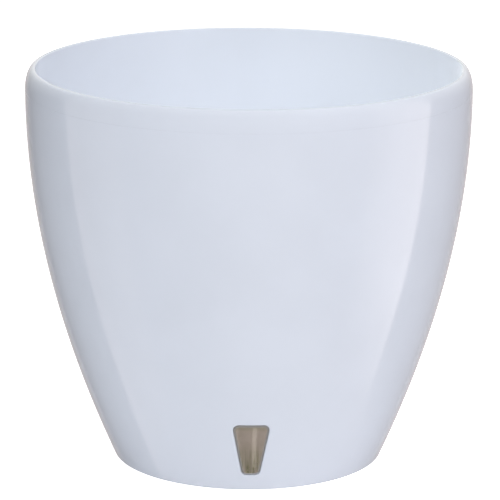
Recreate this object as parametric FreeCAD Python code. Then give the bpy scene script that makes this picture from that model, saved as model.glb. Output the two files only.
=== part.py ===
"""Self watering planter: a glossy round outer pot with a water level window and a lift-out inner pot.

Units are millimetres. +Z is up, the origin is the centre of the foot on the surface the planter
stands on, and the level window faces -Y.
"""
import FreeCAD, Part
import math
import os

from FreeCAD import Rotation, Vector

# ---- driving dimensions: outer pot ------------------------------------------------------------
POT_RADIUS = 100.0            # largest outside radius, at the rim of the outer pot
RIM_HEIGHT = 169.2            # rim of the outer pot, where the inner pot's collar begins
BASE_RADIUS = 60.6            # where the wall would meet the table without its corner radius
WALL_LOWER_PULL = (79.8, 43.4)    # radius and height that the wall heads for from the foot
WALL_UPPER_PULL = 101.6       # height from which the wall runs up straight
BASE_CORNER_RADIUS = 2.0
WALL = 2.4                    # outer pot wall
FLOOR_RECESS = 2.5            # hollow under the floor, inside the foot ring
FLOOR = 2.6
FOOT_RING_INNER_RADIUS = 52.0
INNER_CORNER_RADIUS = 1.5
RIM_EDGE_ROUND = 0.15         # rounding of the rim's outer edge, half of the joint line

RIB_COUNT = 6                 # upright ribs inside the outer pot that carry the inner pot
RIB_THICKNESS = 2.0
RIB_FOOT_INNER_RADIUS = 54.0
RIB_TOP_INNER_RADIUS = 67.0

# ---- driving dimensions: inner pot ------------------------------------------------------------
SEAT_HEIGHT = 40.0            # rib tops, and the underside of the inner pot
INNER_WALL = 1.8
INNER_FLOOR = 2.0
INNER_BASE_RADIUS = 71.5
INNER_LOWER_PULL = (83.5, 76.0)
INNER_UPPER_PULL = 114.0
INNER_BASE_CORNER_RADIUS = 2.0
INNER_GAP = 0.5               # between the two pots' walls at the rim
COLLAR_TOP = 178.8            # height of the whole planter
COLLAR_CREST_RADIUS = 96.2    # top of the collar's rounded shoulder
COLLAR_LIP_ROUND = 0.6        # from the crest down into the inner pot
COLLAR_EDGE_ROUND = 0.25      # rounding of the collar's lower edge, the other half of the joint line
DRAIN_HOLE_RADIUS = 2.0
DRAIN_RINGS = ((10.0, 6), (24.0, 12), (36.0, 20), (48.0, 24), (60.0, 36))    # radius, holes
DRAIN_HOLE_MARGIN = 3.0       # least distance from a hole's centre to a socket or its collar

# ---- driving dimensions: wick cups ------------------------------------------------------------
CUP_COUNT = 4
CUP_CIRCLE_RADIUS = 40.0
CUP_TOP_RADIUS = 14.2
CUP_BOTTOM_RADIUS = 11.0
CUP_BOTTOM_HEIGHT = 7.1
CUP_WALL = 1.4
CUP_FLOOR = 1.6
CUP_FLANGE_RADIUS = 17.0
CUP_FLANGE = 1.6
CUP_SOCKET_RADIUS = 14.6
CUP_SLOT_COUNT = 8
CUP_SLOT_WIDTH = 2.0
CUP_SLOT_LOW = 13.0
CUP_SLOT_HIGH = 34.0
CUP_NIB_COUNT = 3
CUP_NIB_RADIUS = 15.2
CUP_NIB_HEIGHT = 1.6
CUP_NIB_WIDTH = 4.0
CUP_NIB_CLEARANCE = 0.1
FELT_RADIUS = 9.0
FELT_THICKNESS = 3.0

# ---- driving dimensions: fill tube and its cap -------------------------------------------------
TUBE_CENTRE_Y = -54.0
TUBE_RADIUS = 11.0
TUBE_WALL = 1.6
TUBE_BOTTOM = 36.5
TUBE_TOP = 156.0
TUBE_SOCKET_RADIUS = 11.2
TUBE_COLLAR_RADIUS = 14.0
TUBE_COLLAR = 1.6
LOCK_RING_RADIUS = 13.4
LOCK_RING_HEIGHT = 3.0
LOCK_RING_GAP = 0.1
LOCK_RING_GRIPS = 8
LOCK_RING_GRIP_RADIUS = 1.4
CAP_RADIUS = 12.5
CAP_THICKNESS = 2.2
CAP_EDGE_ROUND = 0.7
CAP_SKIRT_RADIUS = 8.9
CAP_SKIRT_WALL = 1.2
CAP_SKIRT_DEPTH = 1.6
CAP_TAB_HALF_WIDTH = 4.0
CAP_TAB_REACH = 4.0
HINGE_OFFSET = 14.5           # hinge axis from the tube's axis, towards -Y
HINGE_HEIGHT = 157.1
HINGE_BARREL_RADIUS = 2.6
HINGE_PIN_RADIUS = 1.0
HINGE_PIN_CLEARANCE = 0.05
KNUCKLE_HALF_WIDTH = 3.2
EAR_INNER_X = 3.5
EAR_OUTER_X = 6.0
HINGE_NOTCH_HALF_WIDTH = 6.5
HINGE_NOTCH_REACH = 3.3
EAR_ROOT_DEPTH = 9.0          # how far the ears run down the tube

# ---- driving dimensions: level window ----------------------------------------------------------
WINDOW_LOW = 8.1
WINDOW_HIGH = 34.1
WINDOW_LOW_HALF_WIDTH = 3.85  # half widths of the sharp trapezoid, before its corners are rounded
WINDOW_HIGH_HALF_WIDTH = 8.5
WINDOW_CORNER_RADIUS = 2.6
WINDOW_SEAT_DEPTH = 1.2       # rabbet that the pane's flange sits in
WINDOW_SEAT_WIDTH = 2.0       # how much smaller the through opening is all round
PANE_RECESS = 0.1
PANE_GAP = 0.15
PANE_BOSS_END = 4.6           # depth of the pane's boss, measured in from the outer surface
GASKET_DEPTH = (2.42, 3.4)
GASKET_FLANGE = 1.0           # how far the gasket reaches outside the pane's outline
RETAINER_DEPTH = (3.4, 4.7)
RETAINER_FLANGE = 1.4
STRIP_DEPTH = (4.7, 5.5)
STRIP_CENTRE_X = 1.6
STRIP_HALF_WIDTH = 0.9
WINDOW_SECTOR = 40.0          # degrees of revolved skin that the window pieces are cut from

# ---- driving dimensions: drain plug -------------------------------------------------------------
DRAIN_RADIUS = 6.0
PLUG_STEM_RADIUS = 5.9
PLUG_STEM_BOTTOM = 1.0
PLUG_FLANGE_RADIUS = 11.0
PLUG_FLANGE = 2.0
PLUG_NECK_RADIUS = 3.0
PLUG_KNOB_RADIUS = 7.0
PLUG_KNOB_LOW = 14.0
PLUG_KNOB_HIGH = 18.0
PLUG_ROUND = 1.0
SEAL_RADIUS = 10.0
SEAL_BORE_RADIUS = 6.2
SEAL_THICKNESS = 1.0

# ---- worked out from the driving dimensions ------------------------------------------------------
FLOOR_TOP = FLOOR_RECESS + FLOOR
INNER_TOP_RADIUS = POT_RADIUS - WALL - INNER_GAP
INNER_FLOOR_TOP = SEAT_HEIGHT + INNER_FLOOR
HINGE_Y = TUBE_CENTRE_Y - HINGE_OFFSET
WINDOW_SLOPE = math.atan2(WINDOW_HIGH_HALF_WIDTH - WINDOW_LOW_HALF_WIDTH, WINDOW_HIGH - WINDOW_LOW)

UP = Vector(0, 0, 1)
ORIGIN = Vector(0, 0, 0)
WALL_POLES = (
    (BASE_RADIUS, 0.0),
    WALL_LOWER_PULL,
    (POT_RADIUS, WALL_UPPER_PULL),
    (POT_RADIUS, RIM_HEIGHT),
)
INNER_POLES = (
    (INNER_BASE_RADIUS, SEAT_HEIGHT),
    INNER_LOWER_PULL,
    (INNER_TOP_RADIUS, INNER_UPPER_PULL),
    (INNER_TOP_RADIUS, RIM_HEIGHT),
)


# ---- outline helpers ----------------------------------------------------------------------------
def at(radius, height):
    """A point of a revolved section."""
    return Vector(radius, 0, height)


def line(start, end):
    return Part.LineSegment(start, end).toShape()


def arc(start, middle, end):
    return Part.Arc(start, middle, end).toShape()


def revolve(edges):
    """The solid swept by a closed section turned once about the Z axis."""
    return Part.Face(Part.Wire(edges)).revolve(ORIGIN, UP, 360)


def tube(outer_radius, inner_radius, low, high):
    outer = Part.makeCylinder(outer_radius, high - low, Vector(0, 0, low))
    return outer.cut(Part.makeCylinder(inner_radius, high - low, Vector(0, 0, low)))


def inset_poles(poles, inset):
    """Control points of a curve that runs inside another at a steady distance."""
    legs = []
    for first, second in zip(poles, poles[1:]):
        length = math.hypot(second[0] - first[0], second[1] - first[1])
        along = ((second[0] - first[0]) / length, (second[1] - first[1]) / length)
        inward = (-along[1], along[0])
        legs.append(((first[0] + inset * inward[0], first[1] + inset * inward[1]), along, inward))
    moved = [legs[0][0]]
    for (start, along, _), (_, next_along, next_inward) in zip(legs, legs[1:]):
        corner = poles[len(moved)]
        target = (corner[0] + inset * next_inward[0], corner[1] + inset * next_inward[1])
        gap = (target[0] - start[0], target[1] - start[1])
        cross = along[0] * next_along[1] - along[1] * next_along[0]
        reach = (gap[0] * next_along[1] - gap[1] * next_along[0]) / cross
        moved.append((start[0] + reach * along[0], start[1] + reach * along[1]))
    last_inward = legs[-1][2]
    moved.append((poles[-1][0] + inset * last_inward[0], poles[-1][1] + inset * last_inward[1]))
    return moved


def curve_through(poles):
    curve = Part.BezierCurve()
    curve.setPoles([at(radius, height) for radius, height in poles])
    return curve


def parameter_at_height(curve, height):
    """Where a rising curve passes a height, by halving."""
    low, high = 0.0, 1.0
    for _ in range(50):
        middle = (low + high) / 2
        if curve.value(middle).z < height:
            low = middle
        else:
            high = middle
    return low


def floor_corner(curve, floor_height, radius):
    """A rounding from a level floor into a rising curve: its three points and the curve parameter."""
    foot_parameter = parameter_at_height(curve, floor_height)
    foot = curve.value(foot_parameter)
    lean = curve.tangent(foot_parameter)[0]
    turn = math.atan2(lean.z, lean.x)
    reach = radius * math.tan(turn / 2)
    start = Vector(foot.x - reach, 0, floor_height)
    parameter = parameter_at_height(curve, floor_height + reach * math.sin(turn))
    half = turn / 2
    middle = Vector(start.x + radius * math.sin(half), 0, floor_height + radius * (1 - math.cos(half)))
    return start, middle, parameter


def rounded_outline(corners, radius):
    """A closed wire with every corner rounded to one radius."""
    edges = []
    previous_end = None
    first_start = None
    count = len(corners)
    for index, corner in enumerate(corners):
        back = (corners[index - 1] - corner).normalize()
        ahead = (corners[(index + 1) % count] - corner).normalize()
        half_angle = back.getAngle(ahead) / 2
        reach = radius / math.tan(half_angle)
        start = corner + back * reach
        end = corner + ahead * reach
        bisector = (back + ahead).normalize()
        middle = corner + bisector * (radius / math.sin(half_angle) - radius)
        if previous_end is not None:
            edges.append(line(previous_end, start))
        else:
            first_start = start
        edges.append(arc(start, middle, end))
        previous_end = end
    edges.append(line(previous_end, first_start))
    return Part.Wire(edges)


# ---- outer pot ------------------------------------------------------------------------------------
def outer_shell():
    """Foot ring, wall and floor up to the level rim, as one revolved section."""
    outside = curve_through(WALL_POLES)
    inside = curve_through(inset_poles(WALL_POLES, WALL))
    base_start, base_middle, base_parameter = floor_corner(outside, 0.0, BASE_CORNER_RADIUS)
    floor_end, floor_middle, floor_parameter = floor_corner(inside, FLOOR_TOP, INNER_CORNER_RADIUS)
    rim_parameter = parameter_at_height(outside, RIM_HEIGHT - RIM_EDGE_ROUND)
    rim_edge = POT_RADIUS - RIM_EDGE_ROUND
    diagonal = RIM_EDGE_ROUND * math.sqrt(0.5)
    edges = [
        line(at(0, FLOOR_RECESS), at(FOOT_RING_INNER_RADIUS, FLOOR_RECESS)),
        line(at(FOOT_RING_INNER_RADIUS, FLOOR_RECESS), at(FOOT_RING_INNER_RADIUS, 0)),
        line(at(FOOT_RING_INNER_RADIUS, 0), base_start),
        arc(base_start, base_middle, outside.value(base_parameter)),
        outside.toShape(base_parameter, rim_parameter),
        arc(
            outside.value(rim_parameter),
            at(rim_edge + diagonal, RIM_HEIGHT - RIM_EDGE_ROUND + diagonal),
            at(rim_edge, RIM_HEIGHT),
        ),
        line(at(rim_edge, RIM_HEIGHT), inside.value(1.0)),
        inside.toShape(floor_parameter, 1.0),
        arc(inside.value(floor_parameter), floor_middle, floor_end),
        line(floor_end, at(0, FLOOR_TOP)),
        line(at(0, FLOOR_TOP), at(0, FLOOR_RECESS)),
    ]
    return revolve(Part.__sortEdges__(edges))


def support_rib(angle):
    """One upright rib whose level top carries the inner pot."""
    middle_of_wall = curve_through(inset_poles(WALL_POLES, WALL / 2))
    sunk = FLOOR_TOP - FLOOR / 2
    top = middle_of_wall.value(parameter_at_height(middle_of_wall, SEAT_HEIGHT))
    foot = middle_of_wall.value(parameter_at_height(middle_of_wall, sunk))
    corners = [
        at(RIB_FOOT_INNER_RADIUS, sunk),
        at(RIB_TOP_INNER_RADIUS, SEAT_HEIGHT),
        top,
        foot,
    ]
    plate = Part.Face(Part.makePolygon(corners + corners[:1]))
    rib = plate.extrude(Vector(0, RIB_THICKNESS, 0))
    rib.translate(Vector(0, -RIB_THICKNESS / 2, 0))
    return rib.rotate(ORIGIN, UP, angle)


def make_outer_pot():
    ribs = [support_rib(index * 360 / RIB_COUNT) for index in range(RIB_COUNT)]
    pot = outer_shell().fuse(ribs)
    pot = pot.cut(Part.makeCylinder(DRAIN_RADIUS, FLOOR_TOP, ORIGIN))
    pot = pot.cut(window_prism(0.0).common(skin(-1.0, WINDOW_SEAT_DEPTH)))
    return pot.cut(window_prism(WINDOW_SEAT_WIDTH))


# ---- level window -----------------------------------------------------------------------------------
def window_prism(inset):
    """A bar with the window's rounded outline that runs through the wall along Y."""
    shift = inset / math.cos(WINDOW_SLOPE)
    slope = math.tan(WINDOW_SLOPE)
    low_half = WINDOW_LOW_HALF_WIDTH + inset * slope - shift
    high_half = WINDOW_HIGH_HALF_WIDTH - inset * slope - shift
    front = -POT_RADIUS
    corners = [
        Vector(-low_half, front, WINDOW_LOW + inset),
        Vector(low_half, front, WINDOW_LOW + inset),
        Vector(high_half, front, WINDOW_HIGH - inset),
        Vector(-high_half, front, WINDOW_HIGH - inset),
    ]
    radius = max(WINDOW_CORNER_RADIUS - inset, WINDOW_CORNER_RADIUS / 3)
    face = Part.Face(rounded_outline(corners, radius))
    return face.extrude(Vector(0, POT_RADIUS / 2, 0))


def skin(outer_inset, inner_inset):
    """A sector of shell between two depths below the outer surface, centred on the window."""
    outer = curve_through(inset_poles(WALL_POLES, outer_inset))
    inner = curve_through(inset_poles(WALL_POLES, inner_inset))
    edges = [
        outer.toShape(),
        line(outer.value(1.0), inner.value(1.0)),
        inner.toShape(),
        line(inner.value(0.0), outer.value(0.0)),
    ]
    section = Part.Face(Part.Wire(Part.__sortEdges__(edges)))
    section.rotate(ORIGIN, UP, -90 - WINDOW_SECTOR / 2)
    return section.revolve(ORIGIN, UP, WINDOW_SECTOR)


def make_window_lens():
    """Smoky pane: a flange in the wall's rabbet and a boss through the opening."""
    flange = window_prism(PANE_GAP).common(skin(PANE_RECESS, WINDOW_SEAT_DEPTH - PANE_GAP / 3))
    boss = window_prism(WINDOW_SEAT_WIDTH + PANE_GAP).common(skin(WINDOW_SEAT_DEPTH / 2, PANE_BOSS_END))
    return flange.fuse(boss).removeSplitter()


def window_ring(flange, depth):
    """A frame round the pane's boss, between two depths."""
    frame = window_prism(-flange).cut(window_prism(WINDOW_SEAT_WIDTH + PANE_GAP / 2))
    return frame.common(skin(*depth))


def make_window_gasket():
    return window_ring(GASKET_FLANGE, GASKET_DEPTH)


def make_window_retainer():
    return window_ring(RETAINER_FLANGE, RETAINER_DEPTH)


def make_level_strip():
    """Upright pale strip behind the pane, against which the water shows."""
    bar = Part.makeBox(
        2 * STRIP_HALF_WIDTH,
        POT_RADIUS / 2,
        WINDOW_HIGH - WINDOW_LOW,
        Vector(STRIP_CENTRE_X - STRIP_HALF_WIDTH, -POT_RADIUS, WINDOW_LOW),
    )
    return bar.common(skin(*STRIP_DEPTH))


# ---- drain plug -----------------------------------------------------------------------------------------
def make_drain_plug():
    """Bung with a sealing flange and a pull knob."""
    flange_low = FLOOR_TOP + SEAL_THICKNESS
    stem = Part.makeCylinder(PLUG_STEM_RADIUS, flange_low - PLUG_STEM_BOTTOM, at(0, PLUG_STEM_BOTTOM))
    stem = stem.makeChamfer(PLUG_ROUND / 2, [edge_at(stem, PLUG_STEM_BOTTOM)])
    flange = Part.makeCylinder(PLUG_FLANGE_RADIUS, PLUG_FLANGE, at(0, flange_low))
    flange = flange.makeFillet(PLUG_ROUND, [edge_at(flange, flange_low + PLUG_FLANGE)])
    neck = Part.makeCylinder(PLUG_NECK_RADIUS, PLUG_KNOB_LOW - flange_low, at(0, flange_low))
    knob = Part.makeCylinder(PLUG_KNOB_RADIUS, PLUG_KNOB_HIGH - PLUG_KNOB_LOW, at(0, PLUG_KNOB_LOW))
    ends = [edge_at(knob, PLUG_KNOB_LOW), edge_at(knob, PLUG_KNOB_HIGH)]
    knob = knob.makeFillet(PLUG_ROUND, ends)
    return stem.fuse([flange, neck, knob]).removeSplitter()


def make_drain_seal():
    return tube(SEAL_RADIUS, SEAL_BORE_RADIUS, FLOOR_TOP, FLOOR_TOP + SEAL_THICKNESS)


def edge_at(shape, height):
    """The round edge of an upright cylinder at one height."""
    for edge in shape.Edges:
        box = edge.BoundBox
        if box.ZLength < 1e-6 and abs(box.ZMin - height) < 1e-6:
            return edge
    raise ValueError("no level edge at this height")


# ---- inner pot ---------------------------------------------------------------------------------------------
def cup_centres():
    step = 2 * math.pi / CUP_COUNT
    angles = [step * (index + 0.5) for index in range(CUP_COUNT)]
    return [Vector(CUP_CIRCLE_RADIUS * math.cos(a), CUP_CIRCLE_RADIUS * math.sin(a), 0) for a in angles]


def tube_centre():
    return Vector(0, TUBE_CENTRE_Y, 0)


def inner_shell():
    """Floor, wall and the rounded collar that sits on the outer pot's rim, as one revolved section."""
    outside = curve_through(INNER_POLES)
    inside = curve_through(inset_poles(INNER_POLES, INNER_WALL))
    base_start, base_middle, base_parameter = floor_corner(outside, SEAT_HEIGHT, INNER_BASE_CORNER_RADIUS)
    floor_end, floor_middle, floor_parameter = floor_corner(inside, INNER_FLOOR_TOP, INNER_CORNER_RADIUS)
    shoulder = Part.Ellipse(
        at(COLLAR_CREST_RADIUS, COLLAR_TOP),
        at(POT_RADIUS, RIM_HEIGHT),
        at(COLLAR_CREST_RADIUS, RIM_HEIGHT),
    )
    edge_parameter = math.acos(COLLAR_EDGE_ROUND / (COLLAR_TOP - RIM_HEIGHT))
    edge_low = at(POT_RADIUS - COLLAR_EDGE_ROUND, RIM_HEIGHT)
    edge_middle = edge_low + at(math.sqrt(0.5), 1 - math.sqrt(0.5)) * COLLAR_EDGE_ROUND
    wall_radius = INNER_TOP_RADIUS - INNER_WALL
    lip_start = at(wall_radius + COLLAR_LIP_ROUND, COLLAR_TOP)
    lip_middle = lip_start + at(-math.sqrt(0.5), math.sqrt(0.5) - 1) * COLLAR_LIP_ROUND
    lip_end = at(wall_radius, COLLAR_TOP - COLLAR_LIP_ROUND)
    edges = [
        line(at(0, SEAT_HEIGHT), base_start),
        arc(base_start, base_middle, outside.value(base_parameter)),
        outside.toShape(base_parameter, 1.0),
        line(outside.value(1.0), edge_low),
        arc(edge_low, edge_middle, shoulder.value(edge_parameter)),
        shoulder.toShape(0.0, edge_parameter),
        line(at(COLLAR_CREST_RADIUS, COLLAR_TOP), lip_start),
        arc(lip_start, lip_middle, lip_end),
        line(lip_end, inside.value(1.0)),
        inside.toShape(floor_parameter, 1.0),
        arc(inside.value(floor_parameter), floor_middle, floor_end),
        line(floor_end, at(0, INNER_FLOOR_TOP)),
        line(at(0, INNER_FLOOR_TOP), at(0, SEAT_HEIGHT)),
    ]
    return revolve(Part.__sortEdges__(edges))


def hole_through_inner_floor(centre, radius):
    return Part.makeCylinder(radius, 2 * INNER_FLOOR, centre + at(0, SEAT_HEIGHT - INNER_FLOOR / 2))


def drain_hole_centres():
    """Rings of holes, left out where a cup flange or the tube's collar covers the floor."""
    covers = [(centre, CUP_FLANGE_RADIUS) for centre in cup_centres()]
    covers.append((tube_centre(), LOCK_RING_RADIUS))
    centres = []
    for ring_radius, count in DRAIN_RINGS:
        for index in range(count):
            angle = 2 * math.pi * (index + 0.5) / count
            spot = Vector(ring_radius * math.cos(angle), ring_radius * math.sin(angle), 0)
            if all(spot.distanceToPoint(c) > r + DRAIN_HOLE_MARGIN for c, r in covers):
                centres.append(spot)
    return centres


def make_inner_pot():
    holes = [hole_through_inner_floor(centre, DRAIN_HOLE_RADIUS) for centre in drain_hole_centres()]
    holes += [hole_through_inner_floor(centre, CUP_SOCKET_RADIUS) for centre in cup_centres()]
    holes.append(hole_through_inner_floor(tube_centre(), TUBE_SOCKET_RADIUS))
    return inner_shell().cut(holes)


# ---- wick cups ---------------------------------------------------------------------------------------------
def cup_body():
    """A slotted, tapered cup about the Z axis that hangs in its socket by a flange."""
    depth = INNER_FLOOR_TOP - CUP_BOTTOM_HEIGHT
    outside = Part.makeCone(CUP_BOTTOM_RADIUS, CUP_TOP_RADIUS, depth, at(0, CUP_BOTTOM_HEIGHT))
    flange = Part.makeCylinder(CUP_FLANGE_RADIUS, CUP_FLANGE, at(0, INNER_FLOOR_TOP))
    hollow_low = CUP_BOTTOM_HEIGHT + CUP_FLOOR
    hollow = Part.makeCone(
        CUP_BOTTOM_RADIUS - CUP_WALL,
        CUP_TOP_RADIUS - CUP_WALL,
        INNER_FLOOR_TOP + CUP_FLANGE - hollow_low,
        at(0, hollow_low),
    )
    return outside.fuse(flange).fuse(cup_nibs()).cut([hollow] + cup_slots()).removeSplitter()


def cup_nibs():
    """Small catches under the floor of the inner pot that keep the cup in."""
    top = SEAT_HEIGHT - CUP_NIB_CLEARANCE
    nibs = []
    for index in range(CUP_NIB_COUNT):
        nib = Part.makeBox(
            CUP_NIB_RADIUS - CUP_TOP_RADIUS + CUP_WALL,
            CUP_NIB_WIDTH,
            CUP_NIB_HEIGHT,
            Vector(CUP_TOP_RADIUS - CUP_WALL, -CUP_NIB_WIDTH / 2, top - CUP_NIB_HEIGHT),
        )
        nib.rotate(ORIGIN, UP, index * 360 / CUP_NIB_COUNT)
        nibs.append(nib)
    return nibs


def cup_slots():
    slots = []
    for index in range(CUP_SLOT_COUNT):
        slot = Part.makeBox(
            CUP_TOP_RADIUS,
            CUP_SLOT_WIDTH,
            CUP_SLOT_HIGH - CUP_SLOT_LOW,
            Vector(CUP_BOTTOM_RADIUS / 2, -CUP_SLOT_WIDTH / 2, CUP_SLOT_LOW),
        )
        slot.rotate(ORIGIN, UP, (index + 0.5) * 360 / CUP_SLOT_COUNT)
        slots.append(slot)
    return slots


def make_wick_cup(centre):
    return cup_body().translate(centre)


def make_wick_felt(centre):
    base = centre + at(0, CUP_BOTTOM_HEIGHT + CUP_FLOOR)
    return Part.makeCylinder(FELT_RADIUS, FELT_THICKNESS, base)


# ---- fill tube ---------------------------------------------------------------------------------------------
def make_fill_tube():
    """Tube through the inner pot's floor, with a collar and two hinge ears."""
    pipe = Part.makeCylinder(TUBE_RADIUS, TUBE_TOP - TUBE_BOTTOM, at(0, TUBE_BOTTOM))
    collar = Part.makeCylinder(TUBE_COLLAR_RADIUS, TUBE_COLLAR, at(0, INNER_FLOOR_TOP))
    body = pipe.fuse([collar] + hinge_ears())
    bore = Part.makeCylinder(TUBE_RADIUS - TUBE_WALL, TUBE_TOP - TUBE_BOTTOM, at(0, TUBE_BOTTOM))
    body = body.cut([bore, hinge_bore(HINGE_PIN_RADIUS)]).removeSplitter()
    return body.translate(tube_centre())


def hinge_point():
    """The hinge axis seen from the tube's own axis."""
    return Vector(0, -HINGE_OFFSET, HINGE_HEIGHT)


def hinge_barrel(low_x, high_x):
    along = Vector(1, 0, 0)
    return Part.makeCylinder(HINGE_BARREL_RADIUS, high_x - low_x, hinge_point() + along * low_x, along)


def hinge_bore(radius):
    along = Vector(1, 0, 0)
    return Part.makeCylinder(radius, 2 * EAR_OUTER_X, hinge_point() - along * EAR_OUTER_X, along)


def hinge_ears():
    """Two lugs beside the cap's knuckle; each tapers down into the tube's wall."""
    ears = []
    wall_y = -TUBE_RADIUS + TUBE_WALL / 2
    for low_x in (EAR_INNER_X, -EAR_OUTER_X):
        corners = [
            Vector(low_x, wall_y, TUBE_TOP),
            Vector(low_x, -HINGE_OFFSET, TUBE_TOP),
            Vector(low_x, -HINGE_OFFSET - HINGE_BARREL_RADIUS, HINGE_HEIGHT),
            Vector(low_x, wall_y, TUBE_TOP - EAR_ROOT_DEPTH),
        ]
        web = Part.Face(Part.makePolygon(corners + corners[:1]))
        web = web.extrude(Vector(EAR_OUTER_X - EAR_INNER_X, 0, 0))
        ears.append(web.fuse(hinge_barrel(low_x, low_x + EAR_OUTER_X - EAR_INNER_X)))
    return ears


def make_tube_lock_ring():
    """Ring pushed on from below that holds the tube's collar against the floor."""
    low = SEAT_HEIGHT - LOCK_RING_HEIGHT
    ring = tube(LOCK_RING_RADIUS, TUBE_RADIUS + LOCK_RING_GAP, low, SEAT_HEIGHT)
    grips = []
    for index in range(LOCK_RING_GRIPS):
        angle = 2 * math.pi * index / LOCK_RING_GRIPS
        spot = Vector(LOCK_RING_RADIUS * math.cos(angle), LOCK_RING_RADIUS * math.sin(angle), low)
        grips.append(Part.makeCylinder(LOCK_RING_GRIP_RADIUS, LOCK_RING_HEIGHT, spot))
    return ring.cut(grips).translate(tube_centre())


def make_fill_cap():
    """Flap with a locating skirt, a thumb tab and the middle knuckle of the hinge."""
    disc = Part.makeCylinder(CAP_RADIUS, CAP_THICKNESS, at(0, TUBE_TOP))
    disc = disc.makeFillet(CAP_EDGE_ROUND, [edge_at(disc, TUBE_TOP + CAP_THICKNESS)])
    tab = Part.makeBox(
        2 * CAP_TAB_HALF_WIDTH,
        CAP_RADIUS + CAP_TAB_REACH,
        CAP_THICKNESS - CAP_EDGE_ROUND,
        Vector(-CAP_TAB_HALF_WIDTH, 0, TUBE_TOP),
    )
    skirt_low = TUBE_TOP - CAP_SKIRT_DEPTH
    skirt = tube(CAP_SKIRT_RADIUS, CAP_SKIRT_RADIUS - CAP_SKIRT_WALL, skirt_low, TUBE_TOP)
    notch = Part.makeBox(
        2 * HINGE_NOTCH_HALF_WIDTH,
        HINGE_OFFSET,
        3 * CAP_THICKNESS,
        Vector(-HINGE_NOTCH_HALF_WIDTH, HINGE_NOTCH_REACH - 2 * HINGE_OFFSET, TUBE_TOP - CAP_THICKNESS),
    )
    neck = Part.makeBox(
        2 * KNUCKLE_HALF_WIDTH,
        HINGE_OFFSET - CAP_RADIUS + HINGE_NOTCH_REACH,
        CAP_THICKNESS - CAP_EDGE_ROUND,
        Vector(-KNUCKLE_HALF_WIDTH, -HINGE_OFFSET, TUBE_TOP),
    )
    knuckle = hinge_barrel(-KNUCKLE_HALF_WIDTH, KNUCKLE_HALF_WIDTH)
    cap = disc.fuse([tab, skirt]).cut(notch).fuse([neck, knuckle])
    cap = cap.cut(hinge_bore(HINGE_PIN_RADIUS + HINGE_PIN_CLEARANCE)).removeSplitter()
    return cap.translate(tube_centre())


def make_cap_hinge_pin():
    return hinge_bore(HINGE_PIN_RADIUS).translate(tube_centre())


# ---- the whole planter ---------------------------------------------------------------------------------------
def all_parts():
    parts = {
        "outer_pot": make_outer_pot(),
        "window_lens": make_window_lens(),
        "window_gasket": make_window_gasket(),
        "window_retainer": make_window_retainer(),
        "level_strip": make_level_strip(),
        "drain_plug": make_drain_plug(),
        "drain_plug_seal": make_drain_seal(),
        "inner_pot": make_inner_pot(),
        "fill_tube": make_fill_tube(),
        "tube_lock_ring": make_tube_lock_ring(),
        "fill_cap": make_fill_cap(),
        "cap_hinge_pin": make_cap_hinge_pin(),
    }
    for number, centre in enumerate(cup_centres(), start=1):
        parts[f"wick_cup_{number}"] = make_wick_cup(centre)
        parts[f"wick_felt_{number}"] = make_wick_felt(centre)
    return parts


def main():
    os.makedirs("parts", exist_ok=True)
    for name, shape in all_parts().items():
        if not shape.isValid() or shape.Volume <= 0:
            raise ValueError(f"{name} is not a sound solid")
        shape.exportStep(f"parts/{name}.step")
        print(f"{name}: {len(shape.Solids)} solid, {shape.Volume / 1000:.2f} cm3")


main()
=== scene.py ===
"""Looks of the self watering planter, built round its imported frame.

The outer pot, inner pot and window pane are remade as fine meshes from the same outlines as the design,
and the felts as fibrous pads. Every other piece is the CAD node itself with a worked material.
Outline sizes are in millimetres, as in the design; objects are in metres. The window faces -Y.
"""

import math

import bmesh
import bpy
import numpy as np
from mathutils import Matrix, Vector


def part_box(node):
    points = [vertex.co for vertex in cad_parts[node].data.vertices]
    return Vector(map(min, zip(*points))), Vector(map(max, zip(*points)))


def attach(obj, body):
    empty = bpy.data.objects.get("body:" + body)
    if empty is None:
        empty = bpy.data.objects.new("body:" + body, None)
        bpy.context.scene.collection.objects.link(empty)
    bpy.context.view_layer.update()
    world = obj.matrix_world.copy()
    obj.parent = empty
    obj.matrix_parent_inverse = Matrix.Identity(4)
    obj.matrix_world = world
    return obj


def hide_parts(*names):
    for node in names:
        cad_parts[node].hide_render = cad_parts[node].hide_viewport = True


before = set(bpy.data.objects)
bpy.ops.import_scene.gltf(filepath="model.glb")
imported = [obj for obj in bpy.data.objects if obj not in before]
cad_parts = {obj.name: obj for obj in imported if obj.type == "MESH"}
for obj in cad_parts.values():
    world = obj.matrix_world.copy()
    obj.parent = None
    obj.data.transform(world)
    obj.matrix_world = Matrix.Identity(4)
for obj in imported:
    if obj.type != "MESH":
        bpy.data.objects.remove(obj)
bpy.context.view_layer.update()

MM = 0.001
POT_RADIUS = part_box("outer_pot")[1].x / MM
POT_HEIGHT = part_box("inner_pot")[1].z / MM
SEGMENTS = 384                # round the pots

# ---- outer pot outline ---------------------------------------------------------------------------
RIM_HEIGHT = 169.2
BASE_RADIUS = 60.6
WALL_POLES = (
    (BASE_RADIUS, 0.0),
    (79.8, 43.4),
    (POT_RADIUS, 101.6),
    (POT_RADIUS, RIM_HEIGHT),
)
WALL = 2.4
FLOOR_RECESS = 2.5
FLOOR_TOP = 5.1
FOOT_RING_INNER_RADIUS = 52.0
FOOT_RECESS_ROUND = 0.8
FOOT_INNER_ROUND = 0.5
FOOT_OUTER_ROUND = 2.0
FLOOR_CORNER_ROUND = 1.5      # where either pot's floor meets its wall
FLOOR_CORNER_RISE = 4
RIM_EDGE_ROUND = 0.08
DRAIN_RADIUS = 6.0
RIB_COUNT = 6
RIB_THICKNESS = 2.0
RIB_SINK = 1.3
RIB_LOW_RADIUS = 54.0
RIB_TOP_RADIUS = 67.0
SEAT_HEIGHT = 40.0

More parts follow.
